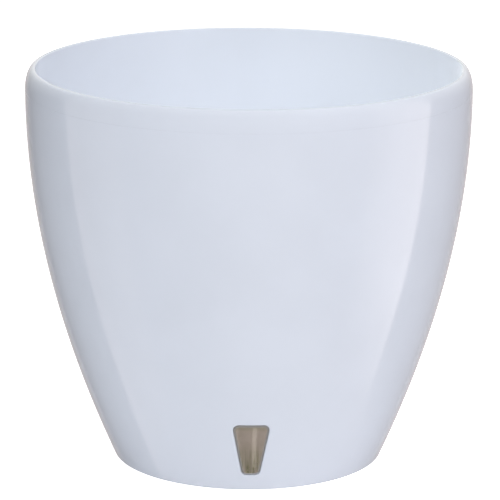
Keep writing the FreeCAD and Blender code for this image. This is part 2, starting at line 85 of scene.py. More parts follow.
# ---- inner pot outline ---------------------------------------------------------------------------
INNER_WALL = 1.8
INNER_TOP_RADIUS = POT_RADIUS - WALL - 0.5
INNER_POLES = (
    (71.5, SEAT_HEIGHT),
    (83.5, 76.0),
    (INNER_TOP_RADIUS, 114.0),
    (INNER_TOP_RADIUS, RIM_HEIGHT),
)
COLLAR_CREST_RADIUS = 96.2
COLLAR_LIP_ROUND = 0.6
COLLAR_EDGE_ROUND = 0.1
INNER_FLOOR_TOP = 42.0
INNER_BASE_ROUND = 2.0
INNER_FLOOR_MIDDLE = 30.0
DRAIN_HOLE_RADIUS = 2.0
DRAIN_RINGS = ((10.0, 6), (24.0, 12), (36.0, 20), (48.0, 24), (60.0, 36))
DRAIN_HOLE_MARGIN = 3.0
CUP_NODES = ["wick_cup_1", "wick_cup_2", "wick_cup_3", "wick_cup_4"]
CUP_SOCKET_RADIUS = 14.6
TUBE_SOCKET_RADIUS = 11.2
LOCK_RING_RADIUS = 13.4

# ---- level window outline ------------------------------------------------------------------------
WINDOW_LOW = 8.1
WINDOW_HIGH = 34.1
WINDOW_LOW_HALF_WIDTH = 3.85
WINDOW_HIGH_HALF_WIDTH = 8.5
WINDOW_CORNER_RADIUS = 2.6
# Rims of the window's solids: how far inside the window's edge, and how deep below the wall's outside.
WINDOW_SEAT_RIMS = ((-0.45, -1.5), (-0.45, -0.3), (-0.3, 0.0), (-0.12, 0.1), (0.0, 0.3), (0.0, 1.2))
WINDOW_OPENING_RIMS = ((2.0, 0.6), (2.0, 6.0))
PANE_RIMS = (
    (1.25, 0.06), (1.1, 0.07), (1.0, 0.1), (0.45, 0.42), (0.25, 0.52), (0.16, 0.66), (0.15, 1.14),
    (0.2, 1.19), (2.1, 1.19), (2.15, 1.25), (2.15, 4.4), (2.35, 4.6),
)

# ---- felts -----------------------------------------------------------------------------------------
FELT_UNEVENNESS = 0.06
FIBRE_COUNT = 160
FIBRE_HALF_WIDTH = 0.03
FIBRE_HEIGHT = 0.05
FIBRE_BOW = 0.12
FIBRE_LIFT = 0.02

# ---- camera --------------------------------------------------------------------------------------
# Distance, height, pitch and lens come from a fit to the photo's outline, as do the wall's poles.
CAMERA_DISTANCE = 1.428       # from the pot's axis, along the floor
CAMERA_HEIGHT = 0.4552
CAMERA_PITCH = math.radians(14.19)
CAMERA_AZIMUTH = math.radians(-1.3)
CAMERA_ROLL = math.radians(0.25)
CAMERA_LENS = 234.2
CAMERA_SHIFT_X = 0.0035

# ---- light: azimuth 0 is the window's side, 90 the +X side; sizes and distances in metres --------
# Powers and tints are rounded results of a least-squares fit to the photo's outside, little changed since.
# The panels started from the same fit and were then mostly reset against the photo.
LIGHTS = (
    # name, azimuth, elevation, distance, width, height, power, colour
    ("key", 40, 35, 1.6, 1.2, 1.2, 7.8, (0.98, 0.93, 0.92)),
    ("fill", -35, 30, 1.6, 1.2, 1.2, 6.7, (0.94, 0.95, 1.0)),
    ("right", 88, 12, 1.5, 1.0, 1.6, 5.2, (0.93, 0.9, 1.0)),
    ("top", 0, 88, 1.4, 1.3, 1.3, 4.2, (0.95, 0.97, 1.0)),
    ("high", 0, 62, 1.6, 1.2, 1.2, 5.5, (0.87, 0.95, 1.0)),
    ("back", 180, 50, 1.6, 1.2, 1.2, 3.4, (0.8, 0.9, 1.0)),
)
AMBIENT = 0.02
AMBIENT_COLOUR = (0.93, 0.96, 1.0)
TENT_PANELS = (                # azimuth, and the brightness mirrored there
    (-180, 0.85), (-157, 0.32), (-150, 0.16), (-108, 0.08),
    (-107, 0.72), (-92, 0.58), (-72, 0.62), (-70, 0.26), (-45, 0.28),
    (20, 0.28), (35, 0.16), (62, 0.1), (66, 0.52), (85, 1.25), (102.6, 1.6),
    (103.4, 0.05), (125, 0.1), (150, 0.32), (160, 0.5), (180, 0.85),
)
TENT_TINT = (1.0, 0.9, 0.87)
TENT_ROOF = (1.2, 1.2, 1.15)   # mirrored overhead, and low down behind the pot
TENT_ROOF_UP = (0.0, 0.4, 1.0)
TENT_ROOF_EDGE = (0.2, 0.8)
TENT_TABLE = (0.28, 0.26, 0.25)  # mirrored from below
TENT_TABLE_UP = (-0.12, 0.0, 1.0)
TENT_TABLE_EDGE = (-0.78, -0.62)
FLOOR_SIZE = 12.0
FLOOR_GLOW = 0.27              # the floor's glow as the pot gets it
FLOOR_WHITE = 0.8              # the same as the camera sees it

# ---- colours -------------------------------------------------------------------------------------
POT_COLOUR = (0.80, 0.84, 0.92)
DARK_PLASTIC = (0.28, 0.31, 0.34)
STRIP_COLOUR = (0.85, 0.82, 0.76)
# The level strip's painted glow, in place of daylight behind the pane.
STRIP_PAINTED_GLOW_COLOUR = (1.0, 0.93, 0.84)
STRIP_PAINTED_GLOW = 0.5
INSIDE_PAINTED_LIGHT_COLOUR = (0.9, 0.92, 0.87)
INSIDE_PAINTED_LIGHT = (0.055, 0.235)     # painted light at the -X and the +X side of the planting space, too dark without it
PANE_ALPHA = 0.62
PANE_STREAK_HEIGHTS = (0.025, 0.013)  # metres: streaks start at the first and are full at the second
PANE_TOP_HEIGHTS = (0.0308, 0.0326)
PANE_FACING = (0.0, -0.92, -0.39)
IOR_PLASTIC = 1.49


# ==== node helpers ================================================================================
def node_material(name):
    material = bpy.data.materials.new(name)
    material.use_nodes = True
    tree = material.node_tree
    return material, tree, tree.nodes["Principled BSDF"]


def map_range(tree, value, low, high, to_low=0.0, to_high=1.0):
    """A value brought from one range to another and held at the ends."""
    node = tree.nodes.new("ShaderNodeMapRange")
    node.inputs["From Min"].default_value = low
    node.inputs["From Max"].default_value = high
    node.inputs["To Min"].default_value = to_low
    node.inputs["To Max"].default_value = to_high
    tree.links.new(value, node.inputs["Value"])
    return node.outputs["Result"]


def reach_along(tree, vector, direction):
    """How far a vector reaches along a fixed direction."""
    node = tree.nodes.new("ShaderNodeVectorMath")
    node.operation = "DOT_PRODUCT"
    node.inputs[1].default_value = direction
    tree.links.new(vector, node.inputs[0])
    return node.outputs["Value"]


def mixed(tree, share, first, second):
    """A mix of two colours, each a socket or three numbers."""
    node = tree.nodes.new("ShaderNodeMix")
    node.data_type = "RGBA"
    tree.links.new(share, node.inputs["Factor"])
    for side, colour in (("A", first), ("B", second)):
        if isinstance(colour, tuple):
            node.inputs[side].default_value = (*colour, 1)
        else:
            tree.links.new(colour, node.inputs[side])
    return node.outputs["Result"]


def product(tree, first, second):
    node = tree.nodes.new("ShaderNodeMath")
    node.operation = "MULTIPLY"
    tree.links.new(first, node.inputs[0])
    tree.links.new(second, node.inputs[1])
    return node.outputs[0]


def own_place(tree):
    """Position in the object's own metres."""
    return tree.nodes.new("ShaderNodeTexCoord").outputs["Object"]


def noise(tree, scale, detail=2.0, roughness=0.5, stretch=None):
    """Noise in the object's own metres, with a scale of its own along each axis where stretch is given."""
    texture = tree.nodes.new("ShaderNodeTexNoise")
    texture.inputs["Scale"].default_value = scale
    texture.inputs["Detail"].default_value = detail
    texture.inputs["Roughness"].default_value = roughness
    place = own_place(tree)
    if stretch is not None:
        mapping = tree.nodes.new("ShaderNodeMapping")
        mapping.inputs["Scale"].default_value = stretch
        tree.links.new(place, mapping.inputs["Vector"])
        place = mapping.outputs["Vector"]
    tree.links.new(place, texture.inputs["Vector"])
    return texture.outputs["Fac"]


def ramp(tree, value, low_colour, high_colour, low=0.35, high=0.65):
    """A colour that goes from one to another as the value goes from low to high."""
    node = tree.nodes.new("ShaderNodeValToRGB")
    node.color_ramp.elements[0].position = low
    node.color_ramp.elements[0].color = (*low_colour, 1)
    node.color_ramp.elements[1].position = high
    node.color_ramp.elements[1].color = (*high_colour, 1)
    tree.links.new(value, node.inputs["Fac"])
    return node.outputs["Color"]


def spread(tree, value, low, high):
    """Noise brought to a range of roughness."""
    return map_range(tree, value, 0.3, 0.7, low, high)


def bump(tree, value, strength, distance, under=None):
    """A normal bent by a height, laid on another bent normal where under is given."""
    node = tree.nodes.new("ShaderNodeBump")
    node.inputs["Strength"].default_value = strength
    node.inputs["Distance"].default_value = distance
    tree.links.new(value, node.inputs["Height"])
    if under is not None:
        tree.links.new(under, node.inputs["Normal"])
    return node.outputs["Normal"]


# ==== camera, floor and lights ====================================================================
def make_camera():
    data = bpy.data.cameras.new("camera")
    data.lens = CAMERA_LENS
    data.shift_x = CAMERA_SHIFT_X
    data.clip_end = 50.0
    camera = bpy.data.objects.new("camera", data)
    bpy.context.scene.collection.objects.link(camera)
    place = Matrix.Translation((
        CAMERA_DISTANCE * math.sin(CAMERA_AZIMUTH),
        -CAMERA_DISTANCE * math.cos(CAMERA_AZIMUTH),
        CAMERA_HEIGHT,
    ))
    turn = Matrix.Rotation(CAMERA_AZIMUTH, 4, "Z") @ Matrix.Rotation(math.pi / 2 - CAMERA_PITCH, 4, "X")
    camera.matrix_world = place @ turn @ Matrix.Rotation(CAMERA_ROLL, 4, "Z")
    bpy.context.scene.camera = camera


def add_area_light(name, azimuth, elevation, distance, width, height, power, colour):
    """A rectangular soft light aimed at the pot. Azimuth 0 is the window's side, 90 the +X side."""
    data = bpy.data.lights.new(name, "AREA")
    data.shape = "RECTANGLE"
    data.size = width
    data.size_y = height
    data.energy = power
    data.color = colour
    light = bpy.data.objects.new(name, data)
    bpy.context.scene.collection.objects.link(light)
    a, e = math.radians(azimuth), math.radians(elevation)
    away = Vector((math.sin(a) * math.cos(e), -math.cos(a) * math.cos(e), math.sin(e)))
    target = Vector((0, 0, POT_HEIGHT * MM / 2))
    light.location = target + away * distance
    light.rotation_euler = away.to_track_quat("Z", "Y").to_euler()
    light.visible_camera = False
    light.visible_glossy = False


def make_world():
    """Dim even light all round, and a light tent's panels, roof and table that only gloss mirrors."""
    world = bpy.data.worlds.new("studio")
    bpy.context.scene.world = world
    world.use_nodes = True
    tree = world.node_tree
    tree.nodes.clear()
    out = tree.nodes.new("ShaderNodeOutputWorld")
    direction = tree.nodes.new("ShaderNodeTexCoord").outputs["Generated"]
    split = tree.nodes.new("ShaderNodeSeparateXYZ")
    tree.links.new(direction, split.inputs[0])
    flip = tree.nodes.new("ShaderNodeMath")
    flip.operation = "MULTIPLY"
    flip.inputs[1].default_value = -1.0
    azimuth = tree.nodes.new("ShaderNodeMath")
    azimuth.operation = "ARCTAN2"
    tree.links.new(split.outputs["Y"], flip.inputs[0])
    tree.links.new(split.outputs["X"], azimuth.inputs[0])
    tree.links.new(flip.outputs[0], azimuth.inputs[1])
    panels = tree.nodes.new("ShaderNodeValToRGB")
    stops = panels.color_ramp.elements
    while len(stops) < len(TENT_PANELS):
        stops.new(0.5)
    for stop, (angle, level) in zip(stops, TENT_PANELS):
        stop.position = (angle + 180) / 360
        stop.color = (*(level * part for part in TENT_TINT), 1)
    tree.links.new(map_range(tree, azimuth.outputs[0], -math.pi, math.pi), panels.inputs["Fac"])
    above_table = map_range(tree, reach_along(tree, direction, TENT_TABLE_UP), *TENT_TABLE_EDGE)
    in_roof = map_range(tree, reach_along(tree, direction, TENT_ROOF_UP), *TENT_ROOF_EDGE)
    sides = mixed(tree, above_table, TENT_TABLE, panels.outputs["Color"])
    tent = mixed(tree, in_roof, sides, TENT_ROOF)
    ambient = tree.nodes.new("ShaderNodeBackground")
    ambient.name = "ambient"
    ambient.inputs["Color"].default_value = (*AMBIENT_COLOUR, 1)
    ambient.inputs["Strength"].default_value = AMBIENT
    mirrored = tree.nodes.new("ShaderNodeBackground")
    mirrored.name = "mirrored"
    tree.links.new(tent, mirrored.inputs["Color"])
    pale = tree.nodes.new("ShaderNodeBackground")
    pale.name = "pale"
    pale.inputs["Color"].default_value = (1.0, 1.0, 1.0, 1)
    path = tree.nodes.new("ShaderNodeLightPath")
    glossy_mix = tree.nodes.new("ShaderNodeMixShader")
    camera_mix = tree.nodes.new("ShaderNodeMixShader")
    tree.links.new(path.outputs["Is Glossy Ray"], glossy_mix.inputs["Fac"])
    tree.links.new(ambient.outputs[0], glossy_mix.inputs[1])
    tree.links.new(mirrored.outputs[0], glossy_mix.inputs[2])
    tree.links.new(path.outputs["Is Camera Ray"], camera_mix.inputs["Fac"])
    tree.links.new(glossy_mix.outputs[0], camera_mix.inputs[1])
    tree.links.new(pale.outputs[0], camera_mix.inputs[2])
    tree.links.new(camera_mix.outputs[0], out.inputs["Surface"])


def make_floor():
    """A white floor that glows a little and looks evenly bright to the camera."""
    mesh = bpy.data.meshes.new("floor")
    corners = [(x * FLOOR_SIZE, y * FLOOR_SIZE, 0) for x, y in ((-1, -1), (1, -1), (1, 1), (-1, 1))]
    mesh.from_pydata(corners, [], [(0, 1, 2, 3)])
    floor = bpy.data.objects.new("floor", mesh)
    bpy.context.scene.collection.objects.link(floor)
    material, tree, shader = node_material("floor_white")
    shader.inputs["Base Color"].default_value = (0.95, 0.95, 0.95, 1)
    shader.inputs["Roughness"].default_value = 0.9
    shader.inputs["Specular IOR Level"].default_value = 0.1
    shader.inputs["Emission Color"].default_value = (1, 1, 1, 1)
    path = tree.nodes.new("ShaderNodeLightPath")
    glow = map_range(tree, path.outputs["Is Camera Ray"], 0.0, 1.0, FLOOR_GLOW, FLOOR_WHITE)
    tree.links.new(glow, shader.inputs["Emission Strength"])
    mesh.materials.append(material)
    floor.visible_glossy = False


def make_lights():
    for light in LIGHTS:
        add_area_light(*light)


# ==== outlines ====================================================================================
def bezier(poles, steps):
    t = np.linspace(0, 1, steps)[:, None]
    a, b, c, d = (np.array(pole, float) for pole in poles)
    return (1 - t) ** 3 * a + 3 * (1 - t) ** 2 * t * b + 3 * (1 - t) * t ** 2 * c + t ** 3 * d


def inset_poles(poles, inset):
    """Control points of a curve that runs inside another at a steady distance."""
    points = [np.array(pole, float) for pole in poles]
    along = [(b - a) / np.linalg.norm(b - a) for a, b in zip(points, points[1:])]
    inward = [np.array((-d[1], d[0])) for d in along]
    moved = [points[0] + inset * inward[0]]
    for k in (1, 2):
        start = points[k] + inset * inward[k - 1]
        target = points[k] + inset * inward[k]
        cross = along[k - 1][0] * along[k][1] - along[k - 1][1] * along[k][0]
        gap = target - start
        reach = (gap[0] * along[k][1] - gap[1] * along[k][0]) / cross
        moved.append(start + reach * along[k - 1])
    moved.append(points[3] + inset * inward[2])
    return moved


def corner_arc(before, corner, after, radius, steps=8):
    """The rounding of one corner of an outline."""
    before, corner, after = (np.array(p, float) for p in (before, corner, after))
    u = (before - corner) / np.linalg.norm(before - corner)
    v = (after - corner) / np.linalg.norm(after - corner)
    half = math.acos(max(-1.0, min(1.0, float(u @ v)))) / 2
    reach = radius / math.tan(half)
    centre = corner + (u + v) / np.linalg.norm(u + v) * radius / math.sin(half)
    start, end = corner + u * reach - centre, corner + v * reach - centre
    turn = math.pi - 2 * half
    swept = [math.sin(turn * (1 - s)) / math.sin(turn) * start + math.sin(turn * s) / math.sin(turn) * end
             for s in np.linspace(0, 1, steps)]
    return centre + np.array(swept)


def height_point(curve, height):
    """The point of a rising sampled curve at one height."""
    return np.array((np.interp(height, curve[:, 1], curve[:, 0]), height))


def above(curve, height):
    return curve[curve[:, 1] > height + 0.05]


def outer_pot_outline():
    """Half section of the outer pot from the axis under its floor, over the rim, to the axis above it."""
    outside = bezier(WALL_POLES, 110)
    inside = bezier(inset_poles(WALL_POLES, WALL), 70)
    recess_corner = (FOOT_RING_INNER_RADIUS, FLOOR_RECESS)
    foot_corner = (FOOT_RING_INNER_RADIUS, 0)
    recess = corner_arc((0, FLOOR_RECESS), recess_corner, foot_corner, FOOT_RECESS_ROUND)
    foot_in = corner_arc(recess_corner, foot_corner, (BASE_RADIUS, 0), FOOT_INNER_ROUND)
    foot_out = corner_arc((0, 0), (BASE_RADIUS, 0), WALL_POLES[1], FOOT_OUTER_ROUND, 12)
    wall = above(outside, foot_out[-1][1])
    wall = wall[wall[:, 1] < RIM_HEIGHT - 2 * RIM_EDGE_ROUND]
    rim_corner, rim_inner = (POT_RADIUS, RIM_HEIGHT), (POT_RADIUS - WALL, RIM_HEIGHT)
    rim_out = corner_arc((POT_RADIUS, 0), rim_corner, rim_inner, RIM_EDGE_ROUND, 7)
    rim_in = corner_arc(rim_corner, rim_inner, (POT_RADIUS - WALL, 0), RIM_EDGE_ROUND / 2, 4)
    inside = inside[inside[:, 1] < RIM_HEIGHT - RIM_EDGE_ROUND]
    floor_corner = corner_arc(
        height_point(inside, FLOOR_TOP + FLOOR_CORNER_RISE), height_point(inside, FLOOR_TOP),
        (0, FLOOR_TOP), FLOOR_CORNER_ROUND)
    inner_wall = above(inside, floor_corner[0][1])[::-1]
    return np.vstack((
        (0, FLOOR_RECESS), (DRAIN_RADIUS * 2, FLOOR_RECESS), (FOOT_RING_INNER_RADIUS / 2, FLOOR_RECESS),
        recess, foot_in, foot_out, wall, rim_out, rim_in, inner_wall, floor_corner,
        (FOOT_RING_INNER_RADIUS / 2, FLOOR_TOP), (DRAIN_RADIUS * 2, FLOOR_TOP), (0, FLOOR_TOP),
    ))


def inner_pot_outline():
    """Half section of the inner pot from the axis under its floor, over the collar, to the axis above it."""
    outside = bezier(INNER_POLES, 80)
    inside = bezier(inset_poles(INNER_POLES, INNER_WALL), 80)
    under = corner_arc((0, SEAT_HEIGHT), INNER_POLES[0], INNER_POLES[1], INNER_BASE_ROUND)
    collar_height = POT_HEIGHT - RIM_HEIGHT
    swing = np.linspace(math.asin(COLLAR_EDGE_ROUND / collar_height), math.pi / 2, 36)
    shoulder = np.column_stack((
        COLLAR_CREST_RADIUS + (POT_RADIUS - COLLAR_CREST_RADIUS) * np.cos(swing),
        RIM_HEIGHT + collar_height * np.sin(swing),
    ))
    wall_radius = INNER_TOP_RADIUS - INNER_WALL
    edge = corner_arc(
        (wall_radius, RIM_HEIGHT), (POT_RADIUS, RIM_HEIGHT), (POT_RADIUS, POT_HEIGHT), COLLAR_EDGE_ROUND)
    lip = corner_arc(
        (COLLAR_CREST_RADIUS, POT_HEIGHT), (wall_radius, POT_HEIGHT), (wall_radius, 0), COLLAR_LIP_ROUND)
    floor_edge = height_point(inside, INNER_FLOOR_TOP)
    corner = corner_arc(
        height_point(inside, INNER_FLOOR_TOP + FLOOR_CORNER_RISE), floor_edge,
        (0, INNER_FLOOR_TOP), FLOOR_CORNER_ROUND)
    return np.vstack((
        (0, SEAT_HEIGHT), (INNER_FLOOR_MIDDLE, SEAT_HEIGHT), under,
        above(outside, under[-1][1]), edge, shoulder[1:], lip,
        (wall_radius, (POT_HEIGHT + RIM_HEIGHT) / 2), above(inside, corner[0][1])[::-1], corner,
        (INNER_FLOOR_MIDDLE, INNER_FLOOR_TOP), (0, INNER_FLOOR_TOP),
    ))


# ==== mesh building ===============================================================================
def new_object(name, vertices, faces):
    """A mesh object from points in millimetres."""
    mesh = bpy.data.meshes.new(name)
    mesh.from_pydata([tuple(float(c) * MM for c in v) for v in vertices], [], faces)
    mesh.validate()
    tidy = bmesh.new()
    tidy.from_mesh(mesh)
    bmesh.ops.recalc_face_normals(tidy, faces=tidy.faces)
    tidy.to_mesh(mesh)
    tidy.free()
    thing = bpy.data.objects.new(name, mesh)
    bpy.context.scene.collection.objects.link(thing)
    return thing


def revolved(name, outline, segments):
    """A closed solid of revolution from an outline that starts and ends on the axis."""
    ring_points = outline[1:-1]
    angles = np.linspace(0, 2 * math.pi, segments, endpoint=False)
    around = np.column_stack((np.cos(angles), np.sin(angles)))
    vertices = [(0, 0, outline[0][1]), (0, 0, outline[-1][1])]
    for radius, height in ring_points:
        vertices.extend((radius * c, radius * s, height) for c, s in around)
    faces = []
    last = len(ring_points) - 1
    for k in range(segments):
        n = (k + 1) % segments
        faces.append((0, 2 + n, 2 + k))
        faces.append((1, 2 + last * segments + k, 2 + last * segments + n))
        for row in range(last):
            low, high = 2 + row * segments, 2 + (row + 1) * segments
            faces.append((low + k, low + n, high + n, high + k))
    return new_object(name, vertices, faces)


def lofted(name, loops, centre_of_cap):
    """A closed skin over loops of points, with each end closed by rings that shrink to its middle."""
    rings = [0.92, 0.8, 0.65, 0.5, 0.35, 0.2]
    first_cap = [centre_of_cap(0, s) for s in rings[::-1]]
    last_cap = [centre_of_cap(-1, s) for s in rings]
    stack = first_cap + list(loops) + last_cap
    count = len(loops[0])
    vertices = [centre_of_cap(0, 0.0)[0]]
    for ring in stack:
        vertices.extend(ring)
    vertices.append(centre_of_cap(-1, 0.0)[0])
    faces = []
    end = len(vertices) - 1
    top = 1 + (len(stack) - 1) * count
    for k in range(count):
        n = (k + 1) % count
        faces.append((0, 1 + n, 1 + k))
        faces.append((end, top + k, top + n))
        for row in range(len(stack) - 1):
            low, high = 1 + row * count, 1 + (row + 1) * count
            faces.append((low + k, low + n, high + n, high + k))
    return new_object(name, vertices, faces)


def cylinders(name, spots, radius, low, high, segments=32):
    """Several separate upright cylinders as one mesh."""
    vertices, faces = [], []
    for x, y in spots:
        base = len(vertices)
        for k in range(segments):
            a = 2 * math.pi * k / segments
            for z in (low, high):
                vertices.append((x + radius * math.cos(a), y + radius * math.sin(a), z))
        for k in range(segments):
            n = (k + 1) % segments
            faces.append((base + 2 * k, base + 2 * n, base + 2 * n + 1, base + 2 * k + 1))
        faces.append(tuple(base + 2 * k for k in range(segments))[::-1])
        faces.append(tuple(base + 2 * k + 1 for k in range(segments)))
    return new_object(name, vertices, faces)


def combine(target, tool, operation):
    """Applies one exact boolean and removes the tool."""
    modifier = target.modifiers.new("boolean", "BOOLEAN")
    modifier.operation = operation
    modifier.solver = "EXACT"
    modifier.object = tool
    shown = target.evaluated_get(bpy.context.evaluated_depsgraph_get())
    result = bpy.data.meshes.new_from_object(shown)
    target.modifiers.clear()
    target.data = result
    bpy.data.objects.remove(tool)


def outline_normals(outline, edge_angle):
    """Normals of the turned outline, looked up by rounded point, without its hard corners."""
    step = outline[1:] - outline[:-1]
    length = np.linalg.norm(step, axis=1)
    facing = np.column_stack((step[:, 1], -step[:, 0])) / length[:, None]
    weighted = facing * length[:, None]
    point_normal = np.vstack((facing[:1], weighted[1:] + weighted[:-1], facing[-1:]))
    point_normal /= np.linalg.norm(point_normal, axis=1)[:, None]
    hard = np.zeros(len(outline), bool)
    hard[1:-1] = np.einsum("ij,ij->i", facing[1:], facing[:-1]) < math.cos(edge_angle)
    keys = outline_keys(outline[:, 0], outline[:, 1])
    return {int(key): normal for key, normal, corner in zip(keys, point_normal, hard) if not corner}


def outline_keys(radius, height):
    """One whole number for each point of an outline, the same within a thousandth of a millimetre."""
    return np.rint(radius * 1e3).astype(np.int64) * 10 ** 7 + np.rint((height + 1) * 1e3).astype(np.int64)


def smooth(thing, outline, edge_angle=math.radians(35)):
    """Smooth shading, with the true normals of the turned outline wherever the mesh lies on it."""
    mesh = thing.data
    mesh.shade_smooth()
    mesh.set_sharp_from_angle(angle=edge_angle)
    corner_vertex = np.empty(len(mesh.loops), int)
    mesh.loops.foreach_get("vertex_index", corner_vertex)
    co = np.empty(len(mesh.vertices) * 3)
    mesh.vertices.foreach_get("co", co)
    co = co.reshape(-1, 3)[corner_vertex] / MM
    face_normal = np.zeros((len(mesh.loops), 3))
    for polygon in mesh.polygons:
        face_normal[polygon.loop_start:polygon.loop_start + polygon.loop_total] = polygon.normal
    radius = np.hypot(co[:, 0], co[:, 1])
    outwards = co[:, :2] / np.maximum(radius, 1e-6)[:, None]
    keys = outline_keys(radius, co[:, 2])
    known = outline_normals(outline, edge_angle)
    corner_normal = np.zeros((len(radius), 3))     # zero leaves the mesh's own normal
    for key in np.unique(keys):
        normal = known.get(int(key))
        if normal is None:
            continue
        here = np.flatnonzero(keys == key)
        turned = np.column_stack((outwards[here] * normal[0], np.full(len(here), normal[1])))
        agree = np.einsum("ij,ij->i", turned, face_normal[here]) > 0.9
        corner_normal[here[agree]] = turned[agree]
    mesh.normals_split_custom_set([tuple(normal) for normal in corner_normal])


# ==== level window ================================================================================
class WindowShape:
    """The window's rounded trapezoid, laid on surfaces at any depth below the outside of the wall."""

    def __init__(self):
        self.slope = math.atan2(WINDOW_HIGH_HALF_WIDTH - WINDOW_LOW_HALF_WIDTH, WINDOW_HIGH - WINDOW_LOW)
        self.middle = (WINDOW_LOW + WINDOW_HIGH) / 2
        self.depth_curves = {}

    def wall_radius(self, height, depth):
        if depth not in self.depth_curves:
            self.depth_curves[depth] = bezier(inset_poles(WALL_POLES, depth), 400)
        curve = self.depth_curves[depth]
        return np.interp(height, curve[:, 1], curve[:, 0])

    def flat(self, inset):
        """The outline as (x, z) points, moved inwards by inset."""
        shift = inset / math.cos(self.slope)
        low_half = WINDOW_LOW_HALF_WIDTH + inset * math.tan(self.slope) - shift
        high_half = WINDOW_HIGH_HALF_WIDTH - inset * math.tan(self.slope) - shift
        corners = [
            (-low_half, WINDOW_LOW + inset), (low_half, WINDOW_LOW + inset),
            (high_half, WINDOW_HIGH - inset), (-high_half, WINDOW_HIGH - inset),
        ]
        radius = max(WINDOW_CORNER_RADIUS - inset, WINDOW_CORNER_RADIUS / 3)
        arcs = [corner_arc(corners[k - 1], corners[k], corners[(k + 1) % 4], radius, 10) for k in range(4)]
        points = []
        for k in range(4):
            points.extend(arcs[k])
            start, end = arcs[k][-1], arcs[(k + 1) % 4][0]
            points.extend(start + (end - start) * s for s in (0.15, 0.3, 0.45, 0.6, 0.75, 0.9))
        return np.array(points)

    def laid(self, flat, depth):
        """Flat points laid on the surface at a depth."""
        radius = self.wall_radius(flat[:, 1], depth)
        return np.column_stack((flat[:, 0], -np.sqrt(radius ** 2 - flat[:, 0] ** 2), flat[:, 1]))

    def block(self, name, rims):
        """A closed solid whose skin passes through outlines given as (inset, depth)."""
        loops = [self.laid(self.flat(inset), depth) for inset, depth in rims]

        def cap(end, share):
            inset, depth = rims[end]
            flat = self.flat(inset)
            centre = np.array((0, self.middle))
            return self.laid(centre + (flat - centre) * share, depth)

        return lofted(name, loops, cap)


WINDOW = WindowShape()


def make_window_lens():
    """Smoky pane: a crowned face with a bevelled border, its flange, and the boss through the wall."""
    lens = WINDOW.block("window_pane", PANE_RIMS)
    lens.data.shade_smooth()
    lens.data.set_sharp_from_angle(angle=math.radians(25))
    return lens


# ==== pots ========================================================================================
def rib_plates():
    """The six upright ribs that carry the inner pot, as one mesh sunk into wall and floor."""
    middle = bezier(inset_poles(WALL_POLES, WALL / 2), 80)
    sunk = FLOOR_TOP - RIB_SINK
    corners = [
        (RIB_LOW_RADIUS, sunk), (RIB_TOP_RADIUS, SEAT_HEIGHT),
        tuple(height_point(middle, SEAT_HEIGHT)), tuple(height_point(middle, sunk)),
    ]
    vertices, faces = [], []
    for index in range(RIB_COUNT):
        turn = Matrix.Rotation(2 * math.pi * index / RIB_COUNT, 3, "Z")
        base = len(vertices)
        for side in (-RIB_THICKNESS / 2, RIB_THICKNESS / 2):
            vertices.extend(turn @ Vector((r, side, z)) for r, z in corners)
        faces.append((base, base + 1, base + 2, base + 3))
        faces.append((base + 7, base + 6, base + 5, base + 4))
        for k in range(4):
            n = (k + 1) % 4
            faces.append((base + k, base + 4 + k, base + 4 + n, base + n))
    return new_object("ribs", vertices, faces)


def make_outer_pot():
    outline = outer_pot_outline()
    pot = revolved("outer_pot_shell", outline, SEGMENTS)
    combine(pot, rib_plates(), "UNION")
    combine(pot, cylinders("drain_hole", [(0, 0)], DRAIN_RADIUS, -1, FLOOR_TOP + 1, 64), "DIFFERENCE")
    combine(pot, WINDOW.block("seat", WINDOW_SEAT_RIMS), "DIFFERENCE")
    combine(pot, WINDOW.block("opening", WINDOW_OPENING_RIMS), "DIFFERENCE")
    smooth(pot, outline)
    return pot


def node_centre(node):
    low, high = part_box(node)
    return (low.x + high.x) / 2 / MM, (low.y + high.y) / 2 / MM


def drain_hole_spots():
    """Rings of holes, left out where a cup's flange or the tube's collar covers the floor."""
    covers = [(node_centre("tube_lock_ring"), LOCK_RING_RADIUS)]
    for name in CUP_NODES:
        low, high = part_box(name)
        covers.append((node_centre(name), (high.x - low.x) / 2 / MM))
    spots = []
    for ring_radius, count in DRAIN_RINGS:
        for index in range(count):
            a = 2 * math.pi * (index + 0.5) / count
            spot = (ring_radius * math.cos(a), ring_radius * math.sin(a))
            if all(math.dist(spot, c) > r + DRAIN_HOLE_MARGIN for c, r in covers):
                spots.append(spot)
    return spots


def make_inner_pot():
    outline = inner_pot_outline()
    pot = revolved("inner_pot_shell", outline, SEGMENTS)
    low, high = SEAT_HEIGHT - 1, INNER_FLOOR_TOP + 1
    combine(pot, cylinders("drains", drain_hole_spots(), DRAIN_HOLE_RADIUS, low, high, 24), "DIFFERENCE")
    sockets = [node_centre(name) for name in CUP_NODES]
    combine(pot, cylinders("sockets", sockets, CUP_SOCKET_RADIUS, low, high, 64), "DIFFERENCE")
    tube_spot = [node_centre("tube_lock_ring")]
    combine(pot, cylinders("tube_socket", tube_spot, TUBE_SOCKET_RADIUS, low, high, 64), "DIFFERENCE")
    smooth(pot, outline)
    return pot


# ==== felts =======================================================================================
def pad_outline(radius, half):
    """Half section of a rounded disc, with rings over both faces."""
    shares = np.linspace(0.1, 0.9, 9)
    outline = [(0, -half)]
    outline.extend((radius * share, -half) for share in shares)
    outline.extend(corner_arc((0, -half), (radius, -half), (radius, half), half * 0.6, 5))
    outline.extend(corner_arc((radius, -half), (radius, half), (0, half), half * 0.6, 5))
    outline.extend((radius * share, half) for share in shares[::-1])
    outline.append((0, half))
    return np.array(outline)


